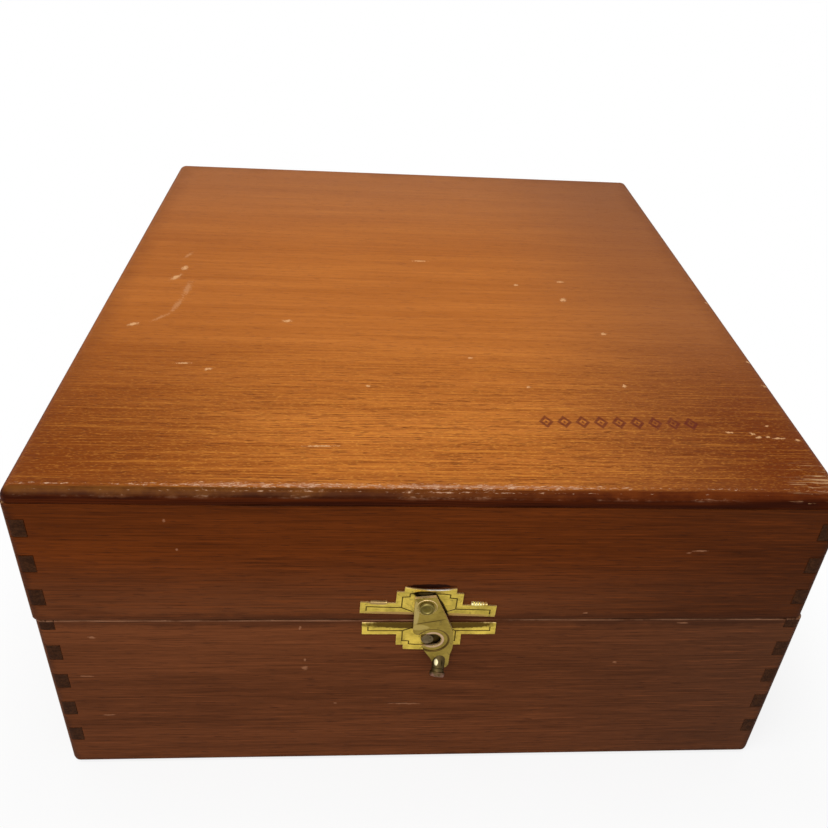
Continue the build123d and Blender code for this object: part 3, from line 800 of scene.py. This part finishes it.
def latch_plate(name, tabs):
    """One plate lying flat. tabs are how far its left and right prongs stand out past the arm."""
    flat = add_mesh(bpy.ops.mesh.primitive_plane_add, size=1, location=(0, arm_height / 2, 0))
    flat.scale = (arm_span, arm_height, 1)
    plate = named(name)
    slice_across(plate, 0, [-step_span / 2, -crown_span / 2, crown_span / 2, step_span / 2])
    slice_across(plate, 1, [edge_band])
    step_top = arm_height + step_height
    top = step_top + crown_height
    for foot, height, span in ((arm_height, step_height, step_span), (step_top, crown_height, crown_span)):
        extrude_up(plate, height, lambda corners: all(
            c.y > foot - near and abs(c.x) < span / 2 + near for c in corners))
    slice_across(plate, 0, [crown_span * share for share in (-0.36, -0.24, -0.12, 0, 0.12, 0.24, 0.36)])
    change(plate, "SOLIDIFY", thickness=sheet, offset=1.0)
    for vertex in plate.data.vertices:
        if vertex.co.y > top - near:
            bow = 1 - (2 * vertex.co.x / crown_span) ** 2
            vertex.co.z += crown_bow * bow
            vertex.co.y -= crown_dip * bow
        if vertex.co.z > sheet - near and vertex.co.y < near:
            vertex.co.z -= foot_bend
    soften(plate, 0.13 * mm)
    half = [(16.1, 1.4), (16.1, 2.75), (7.05, 2.75), (7.05, 6.6), (5.2, 6.75), (5.2, 7.9), (3.6, 8.1),
            (0, 8.1)]
    right = [[(x * mm, y * mm) for x, y in path] for path in (half, [(7.05, 2.75), (4.3, 1.5)])]
    left = [[(-x, y) for x, y in path] for path in right]
    engrave(plate, right + left)
    mark_lines(plate)
    for side, tab in zip((-1, 1), tabs):
        place = side * prong_place
        prong = new_block("prong", (place - prong_width / 2, arm_height - sheet, -prong_reach),
                          (place + prong_width / 2, arm_height + tab, sheet - near + tab / 3))
        round_edges(prong, prong_round, 4, lambda corners: all(c.z > 0 for c in corners)
                    and abs(corners[0].x - corners[1].x) > near)
        if tab > tooth_depth:
            low_y, high_y = arm_height + tab - tooth_depth, arm_height + 2 * tab
            for step in (-1.4, -0.7, 0, 0.7, 1.4):
                x = place + step * mm
                tooth = new_block("tooth", (x - tooth_half, low_y, 0), (x + tooth_half, high_y, board))
                cut_away(prong, [tooth])
        cut_away(plate, [prong], "UNION")
    return plate


lid_plate = latch_plate("lid_plate_brass", (0.35 * mm, 0.9 * mm))
boss_place = Vector((pivot.x - latch_x, pivot.y - rim - lid_plate_rise, 0))
boss_place.rotate(Matrix.Rotation(-lid_plate_tilt, 3, "Z"))
boss_place.z = sheet + boss_rise / 2 - sheet / 4
boss = add_mesh(bpy.ops.mesh.primitive_cone_add, vertices=56, radius1=boss_foot, radius2=boss_top,
                depth=boss_rise + sheet / 2, location=boss_place)
cut_away(lid_plate, [boss], "UNION")
smooth(lid_plate)
set_at(lid_plate, on_front(latch_x, rim + lid_plate_rise, 0, lid_plate_tilt))

base_plate = latch_plate("base_plate_brass", (0.1 * mm, 0.1 * mm))
smooth(base_plate)
base_plate_place = on_front(latch_x + base_plate_offset, rim - base_plate_drop, 0, math.pi + base_plate_tilt)
set_at(base_plate, base_plate_place)


def brass_finish(name, dull, bright, worn_tint, marks=()):
    """Lacquered brass: olive where dull, yellow where rubbed, with pinkish wear and fine scratches. Each mark
    is an oval by its middle, radii, turn, width and tint, and only its rim is marked where it has a width."""
    finish, shader, place, facing = new_finish(name)
    clouds = place.noise(5 * mm, 4, 0.6)
    stains = place.noise(1.6 * mm, 4, 0.7, offset=(2.3, 7.7, 1.1))
    scratches = place.noise((1.8 * mm, 1.8 * mm, 0.12 * mm), 2, 0.6)
    line = place.node("Attribute", {"attribute_name": "engraved"}, out="Fac")
    sides = (1 - abs(facing.axis("Y"))).ramp(0.02, 0.25)
    colour = layered((clouds * 0.8 + scratches * 0.3).ramp(0.35, 0.75).between(dull, bright), [
        (stains.ramp(0.56, 0.68) * 0.45, (0.11, 0.075, 0.012)),
        (sides * 0.9 * clouds.ramp(0.2, 0.5), worn_tint),
        (line * 0.85, (0.040, 0.022, 0.003)),
    ])
    for middle, radii, turn, width, tint in marks:
        reach = place.nearest_spot([(middle, radii, (0, math.radians(turn), 0))])
        if width:
            reach = abs(reach - 1) / width
        colour = ((reach + stains * 0.6 - 0.3).ramp(1.05, 0.75) * 0.96).between(colour, tint)
    relief = raise_up(scratches * 0.4 + stains * 0.4, 0.02 * mm, 0.6)
    feed(shader, Base_Color=colour, Metallic=1.0 - stains.ramp(0.6, 0.72) * 0.3,
         Roughness=0.30 + stains * 0.28 + scratches * 0.1, Normal=relief)
    return finish


def mark_on(x, z, half_length, half_height, turn, width, tint, off=sheet):
    """A mark of brass_finish on the latch, with its place and half sizes in millimetres."""
    middle = (x * mm, -half_depth - off, z * mm)
    return middle, (half_length * mm, 1.2 * mm, half_height * mm), turn, width, tint


olive = (0.40, 0.295, 0.045)
yellow = (0.80, 0.60, 0.105)
pale = (0.82, 0.60, 0.26)
# The near-black of painted shadows
painted_shadow_black = (0.022, 0.012, 0.004)
# A painted highlight along the bent foot, painted shade above the hook and a painted shadow beside it, a painted
# highlight on the upper edge, a painted highlight on the right prong and the left prong dulled
lid_plate_marks = [
    # Painted highlight along the foot, which bends toward the wood
    mark_on(-1.4, 62.75, 18.5, 0.75, 2.4, 0, (0.46, 0.275, 0.085)),
    # Painted shade under the crown, above the hook
    mark_on(-2.6, 70.3, 3.4, 1.3, 0, 0, painted_shadow_black),
    # Painted shadow along the hook's right edge
    mark_on(1.95, 66.3, 5.4, 0.7, 65, 0, painted_shadow_black),
    # Painted highlight on the crown's upper edge
    mark_on(0.2, 72.1, 4.6, 0.42, 2.4, 0, (0.96, 0.92, 0.86), 1.0 * mm),
    # Painted highlight on the right prong
    mark_on(10.9, 66.8, 2.5, 0.7, 2.4, 0, (1.0, 0.93, 0.50), 0.5 * mm),
    # The left prong dulled
    mark_on(-14.4, 67.0, 2.9, 0.6, 2.4, 0, (0.40, 0.27, 0.11), 0.5 * mm),
]
lid_brass = brass_finish("plate_brass_lid", olive, yellow, pale, lid_plate_marks)
dress(lid_plate, lid_brass, "lid", "latch_lid_plate")
# Painted shade under the lid along the upper edge, and painted shade in the hook's throat round the keeper stud
base_plate_marks = [
    # Painted shade under the lid
    mark_on(-0.7, 58.75, 19.5, 1.6, 0.2, 0, (0.085, 0.043, 0.006)),
    # Painted shade in the hook's throat
    mark_on(0.9, 54.1, 4.0, 2.9, 0, 0, painted_shadow_black),
]
base_brass = brass_finish("plate_brass_base", (0.46, 0.33, 0.050), (0.88, 0.66, 0.110), pale,
                          base_plate_marks)
dress(base_plate, base_brass, "base", "latch_base_plate")


# Rivet
# A brass rivet through the boss of the lid's plate. Its head is set with a round punch, which leaves a
# dimple.
def turned(name, outline, sides=32):
    """A round piece about Z, drawn up from its first radius and height through the others, in mm."""
    radius, height = outline[0]
    add_mesh(bpy.ops.mesh.primitive_circle_add, vertices=sides, radius=radius * mm, fill_type="NGON",
             location=(0, 0, height * mm))
    piece = named(name)
    bpy.context.tool_settings.mesh_select_mode = (False, False, True)
    bpy.ops.object.mode_set(mode="EDIT")
    bpy.ops.mesh.select_all(action="SELECT")
    for next_radius, next_height in outline[1:]:
        rise = (next_height - height) * mm
        bpy.ops.mesh.extrude_region_move(TRANSFORM_OT_translate={"value": (0, 0, rise)})
        share = next_radius / radius
        bpy.ops.transform.resize(value=(share, share, 1), center_override=(0, 0, 0))
        radius, height = next_radius, next_height
    bpy.ops.mesh.select_all(action="SELECT")
    bpy.ops.mesh.normals_make_consistent(inside=False)
    bpy.ops.object.mode_set(mode="OBJECT")
    smooth(piece, 35)
    return piece


rivet = turned("pivot_rivet_brass", [
    (1.6, 0.0), (1.6, 0.4), (1.1, 0.45), (1.1, 2.1), (1.95, 2.1), (1.95, 2.65), (1.88, 2.85),
    (1.7, 2.98), (1.5, 3.0), (1.36, 2.97), (1.28, 2.8), (1.05, 2.66), (0.6, 2.58), (0.15, 2.56)], 40)
set_at(rivet, on_front(pivot.x, pivot.y))
rivet_brass = brass_finish("rivet_brass", (0.10, 0.075, 0.012), (0.20, 0.15, 0.030), (0.24, 0.19, 0.06))
dress(rivet, rivet_brass, "lid", "latch_pivot_rivet")

# Hook
# Flat brass, blanked to a bulging outline and bent once, so that its lower half hangs just clear of the
# plates. Its throat opens to the left, with a ring coined round the throat's end.
hook_sheet = 0.8 * mm
hook_back = 1.25 * mm
joggle, joggle_drop, joggle_length = 0.12 * mm, 5.4 * mm, 1.2 * mm
throat_drop, throat_radius, throat_end = 12.64 * mm, 2.19 * mm, 2.25 * mm
coin_radius, coin_depth = 4.2 * mm, 0.25 * mm
rivet_hole = 1.15 * mm
ring_radius, ring_half, ring_sink = 2.5 * mm, 0.3 * mm, 0.14 * mm
# The left and right edges, as heights above the rivet and places to its right, in millimetres
hook_left = [
    (3.1, -3.15), (-8.95, -3.15), (-9.5, -3.04), (-9.95, -2.75), (-10.3, -2.3), (-10.45, -1.7),
    (-14.55, -1.05), (-19.6, 1.95), (-22.2, 3.0), (-23.2, 3.6), (-23.8, 4.7),
]
hook_right = [
    (3.7, 2.2), (-4.9, 5.8), (-8.0, 6.95), (-11.0, 7.65), (-13.4, 7.8), (-16.0, 7.65), (-18.0, 7.15),
    (-22.2, 7.0), (-23.2, 6.4), (-23.8, 5.3),
]


def along_edge(edge, height):
    """Where an edge of the hook is at one height, in millimetres."""
    for (top, x_top), (foot, x_foot) in zip(edge, edge[1:]):
        if height >= foot:
            return x_top + (x_foot - x_top) * (top - height) / (top - foot)
    return edge[-1][1]


def new_cylinder(radius, height, middle, sides):
    return add_mesh(bpy.ops.mesh.primitive_cylinder_add, vertices=sides, radius=radius, depth=height,
                    location=middle)


add_mesh(bpy.ops.mesh.primitive_plane_add, size=1)
hook = named("hook_brass")
rows = [
    2.4, 1.2, 0, -1.5, -3.2, -4.8, -6.0, -6.85, -8.0, -8.95, -9.5, -9.95, -10.3, -10.45, -11.4, -12.64,
    -13.8, -14.55, -15.6, -16.8, -18.0, -19.6, -20.8, -22.2, -22.8, -23.2, -23.55, -23.8,
]
height = rows[0]
top_corners = (-3.15, 3.1), (2.2, 3.7), (-3.15, height), (along_edge(hook_right, height), height)
corners = sorted(hook.data.vertices, key=lambda vertex: (-vertex.co.y, vertex.co.x))
for corner, (x, y) in zip(corners, top_corners):
    corner.co = (x * mm, y * mm, 0)
for next_height in rows[1:]:
    foot, next_foot = height * mm, next_height * mm
    extrude_up(hook, (next_height - height) * mm,
               lambda corners: all(abs(c.y - foot) < near for c in corners))
    ends = [vertex for vertex in hook.data.vertices if abs(vertex.co.y - next_foot) < near]
    ends.sort(key=lambda vertex: vertex.co.x)
    ends[0].co.x = along_edge(hook_left, next_height) * mm
    ends[1].co.x = along_edge(hook_right, next_height) * mm
    height = next_height
for vertex in hook.data.vertices:
    bent = min(1.0, max(0.0, (-vertex.co.y - joggle_drop + joggle_length / 2) / joggle_length))
    vertex.co.z = hook_back - joggle * bent
change(hook, "SOLIDIFY", thickness=hook_sheet, offset=1.0)
low_front = hook_back - joggle + hook_sheet
coin_middle = low_front - coin_depth + mm
cut_away(hook, [
    new_block("throat", (-board, -throat_drop - throat_radius, -mm),
              (throat_end, -throat_drop + throat_radius, board)),
    new_cylinder(throat_radius, 8 * mm, (throat_end, -throat_drop, 0), 48),
    new_cylinder(rivet_hole, 8 * mm, (0, 0, 0), 32),
    new_cylinder(coin_radius, 2 * mm, (throat_end, -throat_drop, coin_middle), 56),
])
soften(hook, 0.15 * mm, 30)
ring = add_mesh(bpy.ops.mesh.primitive_torus_add, major_radius=ring_radius, minor_radius=ring_half,
                major_segments=44, minor_segments=10, location=(0, 0, hook_back + hook_sheet - ring_sink))
cut_away(hook, [ring], "UNION")
smooth(hook)
set_at(hook, on_front(pivot.x, pivot.y))
# Painted shade in the crease of the bend, the coined ring and its pink rim, and painted highlights on two places at
# the left, where the light falls
hook_marks = [
    # Painted shade in the crease
    mark_on(-0.8, 61.4, 4.6, 0.2, -14, 0, (0.085, 0.050, 0.008), low_front),
    mark_on(0.35, 54.16, 4.25, 4.25, 0, 0.06, (0.14, 0.085, 0.018), low_front),
    mark_on(0.35, 54.16, 2.75, 2.75, 0, 0.12, (0.62, 0.42, 0.26), low_front),
    # Painted highlights on the hook's left side
    mark_on(-4.6, 64.6, 0.9, 5.2, 0, 0, (0.50, 0.385, 0.13), low_front),
    mark_on(-3.4, 59.2, 2.6, 1.1, 0, 0, (0.48, 0.36, 0.10), low_front),
]
hook_brass = brass_finish("hook_brass", (0.27, 0.19, 0.032), (0.43, 0.315, 0.062), (0.80, 0.58, 0.32),
                          hook_marks)
dress(hook, hook_brass, "hook", "latch_hook")

# Pull knob
# A small turned knob with a flat head, riveted through the end of the hook and knocked a little down and
# aside.
knob_x, knob_drop, knob_foot = 4.35 * mm, 20.7 * mm, 1.7 * mm
knob_droop, knob_lean = math.radians(46), math.radians(8)
knob = turned("pull_knob_brass", [
    (1.7, -3.2), (1.7, 1.9), (1.6, 2.0), (1.7, 2.1), (1.7, 2.65), (1.75, 2.85), (1.95, 2.9), (2.05, 3.02),
    (2.05, 3.8), (1.95, 4.05), (1.7, 4.18), (1.2, 4.2), (0.4, 4.2)])
set_at(knob, Matrix.Rotation(knob_droop, 4, "X") @ Matrix.Rotation(-knob_lean, 4, "Y"))
bpy.ops.object.mode_set(mode="EDIT")
bpy.ops.mesh.select_all(action="SELECT")
bpy.ops.mesh.bisect(plane_co=(0, 0, 0), plane_no=(0, 0, 1), use_fill=True, clear_inner=True)
bpy.ops.object.mode_set(mode="OBJECT")
cut_away(knob, [turned("pin", [(0.8, -0.95), (1.0, -0.85), (1.0, 0.3)], 24)], "UNION")
smooth(knob, 35)
set_at(knob, on_front(pivot.x + knob_x, pivot.y - knob_drop, knob_foot))
# A painted glint and a painted shade stripe on the shank, and the coppery head
knob_marks = [
    # Painted glint on the shank
    mark_on(1.70, 46.5, 0.65, 1.0, 0, 0, (0.80, 0.70, 0.42), 2.6 * mm),
    # Painted shade down the shank's right side
    mark_on(3.1, 45.6, 0.35, 1.9, 0, 0, (0.020, 0.013, 0.004), 2.6 * mm),
    mark_on(1.9, 42.8, 3.2, 2.5, 0, 0, (0.29, 0.15, 0.105), 5.1 * mm),
]
knob_colours = (0.050, 0.030, 0.011), (0.110, 0.075, 0.024), (0.080, 0.054, 0.020)
dress(knob, brass_finish("knob_brass", *knob_colours, knob_marks), "hook", "latch_pull_knob")

# Keeper stud
# A plain steel stud, driven through the base's plate into the board. The hook's throat slips over it.
stud_offset = 0.8 * mm
stud = turned("keeper_stud_steel", [
    (1.0, -3.4), (1.0, 0.6), (1.7, 0.6), (1.7, 1.3), (1.6, 1.5), (1.4, 1.6), (1.0, 1.6), (0.3, 1.6)])
set_at(stud, on_front(pivot.x + stud_offset, pivot.y - throat_drop))
steel, shader, place, facing = new_finish("steel")
clouds = place.noise(1.5 * mm, 4, 0.6)
turning = place.noise((0.15 * mm, 0.15 * mm, 1.2 * mm), 2, 0.6)
# Brown like dull brass, and darkened as painted shade for the stud in the hook's throat; the hinge pins share it
colour = (clouds + turning * 0.4).ramp(0.4, 0.9).between((0.050, 0.034, 0.013), (0.21, 0.155, 0.078))
relief = raise_up(turning, 0.01 * mm)
feed(shader, Base_Color=colour, Metallic=1.0, Roughness=0.30 + clouds * 0.2, Normal=relief)
dress(stud, steel, "base", "latch_keeper_stud")

# Hinges
# Two small butt hinges of thin brass sheet on the back. Each leaf is rolled round a steel pin at its knuckles
# and nailed to its board.
hinge_width, leaf_height, knuckle_radius, knuckle_gap = 24 * mm, 12 * mm, 1.595 * mm, 0.15 * mm
rolled = 0.7 * mm
roll_steps, roll_turn = 16, math.radians(320)
pin_low, pin_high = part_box("hinge_left_pin")
hinge_y = (pin_low.y + pin_high.y) / 2
hinge_x = -(pin_low.x + pin_high.x) / 2
middle_end = hinge_width / 6 - knuckle_gap / 2
nail_places = [(-8.5, 5.2), (8.5, 5.2), (0.0, 8.8)]
leaf_face = half_depth + 0.8 * mm
hinge_brass = brass_finish("hinge_brass", (0.27, 0.19, 0.035), (0.52, 0.38, 0.075), (0.56, 0.38, 0.16))


def hinge_leaf(name, up):
    """One leaf about an axis through the origin along X. up is 1 for the lid's leaf and -1 for the base's."""
    room = knuckle_radius + knuckle_gap
    flat = add_mesh(bpy.ops.mesh.primitive_plane_add, size=1, rotation=(math.pi / 2, 0, 0),
                    location=(0, -knuckle_radius, up * (leaf_height + room) / 2))
    flat.scale = (hinge_width, leaf_height - room, 1)
    leaf = named(name)
    knuckle_end = middle_end if up > 0 else middle_end + knuckle_gap
    slice_across(leaf, 0, [-knuckle_end, knuckle_end])

    def at_knuckle(corners):
        in_middle = all(abs(c.x) < knuckle_end + near for c in corners)
        return all(abs(c.z - up * room) < near for c in corners) and in_middle == (up > 0)

    pick(leaf, at_knuckle)
    bpy.ops.mesh.extrude_region_move(TRANSFORM_OT_translate={"value": (0, 0, -up * room)})
    bpy.ops.mesh.spin(steps=roll_steps, angle=-up * roll_turn, center=(0, 0, 0), axis=(1, 0, 0))
    bpy.ops.mesh.select_all(action="SELECT")
    bpy.ops.mesh.remove_doubles(threshold=near)
    bpy.ops.mesh.normals_make_consistent(inside=False)
    bpy.ops.object.mode_set(mode="OBJECT")
    return leaf


for kind, up in (("lid", 1), ("base", -1)):
    for side, sign in (("left", -1), ("right", 1)):
        leaf = hinge_leaf(f"hinge_{side}_{kind}_leaf_brass", up)
        flat_face = max(leaf.data.polygons, key=lambda face: face.area)
        change(leaf, "SOLIDIFY", thickness=rolled, offset=-1.0 if flat_face.normal.y < 0 else 1.0)
        soften(leaf, 0.1 * mm)
        smooth(leaf, 35)
        set_at(leaf, Matrix.Translation((sign * hinge_x, hinge_y, rim)))
        dress(leaf, hinge_brass, kind, f"hinge_{side}_{kind}_leaf")

for side, sign in (("left", -1), ("right", 1)):
    pin = turned(f"hinge_{side}_pin_steel", [
        (0.9, -12.5), (1.2, -12.4), (1.3, -12.25), (1.3, -12.0), (0.8, -12.0),
        (0.8, 12.0), (1.3, 12.0), (1.3, 12.25), (1.2, 12.4), (0.9, 12.5)], 24)
    set_at(pin, Matrix.Translation((sign * hinge_x, hinge_y, rim)) @ Matrix.Rotation(math.pi / 2, 4, "Y"))
    dress(pin, steel, "base", f"hinge_{side}_pin")

for kind, up in (("lid", 1), ("base", -1)):
    nails = []
    for sign in (-1, 1):
        for x, z in nail_places:
            nail = turned("nail", [
                (0.5, -3.4), (0.5, -0.1), (1.1, -0.05), (1.1, 0.1), (0.98, 0.24), (0.75, 0.34), (0.4, 0.4),
                (0.1, 0.4)], 20)
            place = Matrix.Translation((sign * hinge_x + x * mm, leaf_face, rim + up * z * mm))
            set_at(nail, place @ Matrix.Rotation(math.pi, 4, "Z") @ Matrix.Rotation(math.pi / 2, 4, "X"))
            nails.append(nail)
    bpy.ops.object.select_all(action="DESELECT")
    for nail in nails:
        nail.select_set(True)
    bpy.context.view_layer.objects.active = nails[0]
    bpy.ops.object.join()
    dress(named(f"hinge_{kind}_nails_brass"), hinge_brass, kind, f"hinge_{kind}_nails")

# Floor, backdrop and light
# A plain white floor in a plain white room. A wide soft lamp hangs above and before the box, and the room's
# own light fills the shadows.
shadow_near, shadow_far = 2 * mm, 75 * mm
lamp_place, lamp_aim = Vector((-0.25, -0.45, 0.95)), Vector((0, 0, 0.05))
add_mesh(bpy.ops.mesh.primitive_plane_add, size=8)
floor = named("floor")
finish, shader, place, facing = new_finish("floor_white")
feed(shader, Base_Color=(0.88, 0.88, 0.88, 1), Roughness=0.9, Specular_IOR_Level=0.1)
out_x, out_y = abs(place.axis("X")) - half_width, abs(place.axis("Y")) - half_depth
away = out_x.most(out_y).ramp(shadow_near, shadow_far)
white = place.node("LightPath", out="Is Camera Ray") * (0.8 + away * 0.2)
lit = Wire(finish.node_tree, shader.outputs["BSDF"])
mixed = lit.node("MixShader", sockets={0: white, 1: lit, 2: place.node("Emission")})
finish.node_tree.links.new(mixed.socket, finish.node_tree.nodes["Material Output"].inputs["Surface"])
floor.data.materials.append(finish)
world = bpy.data.worlds.new("room")
bpy.context.scene.world = world
world.use_nodes = True
room = Wire(world.node_tree)
seen = room.node("LightPath", out="Is Camera Ray")
for ray in ("Is Glossy Ray", "Is Transmission Ray"):
    seen = seen.most(room.node("LightPath", out=ray))
feed(world.node_tree.nodes["Background"], Color=(1, 1, 1, 1), Strength=0.45 + seen * 0.55)
bpy.ops.object.light_add(type="AREA", location=lamp_place)
lamp = bpy.context.object
lamp.data.shape = "DISK"
lamp.data.size = 0.8
lamp.data.energy = 7.0
lamp.rotation_euler = (lamp_aim - lamp.location).to_track_quat("-Z", "Y").to_euler()

bpy.context.scene.view_settings.view_transform = "Standard"
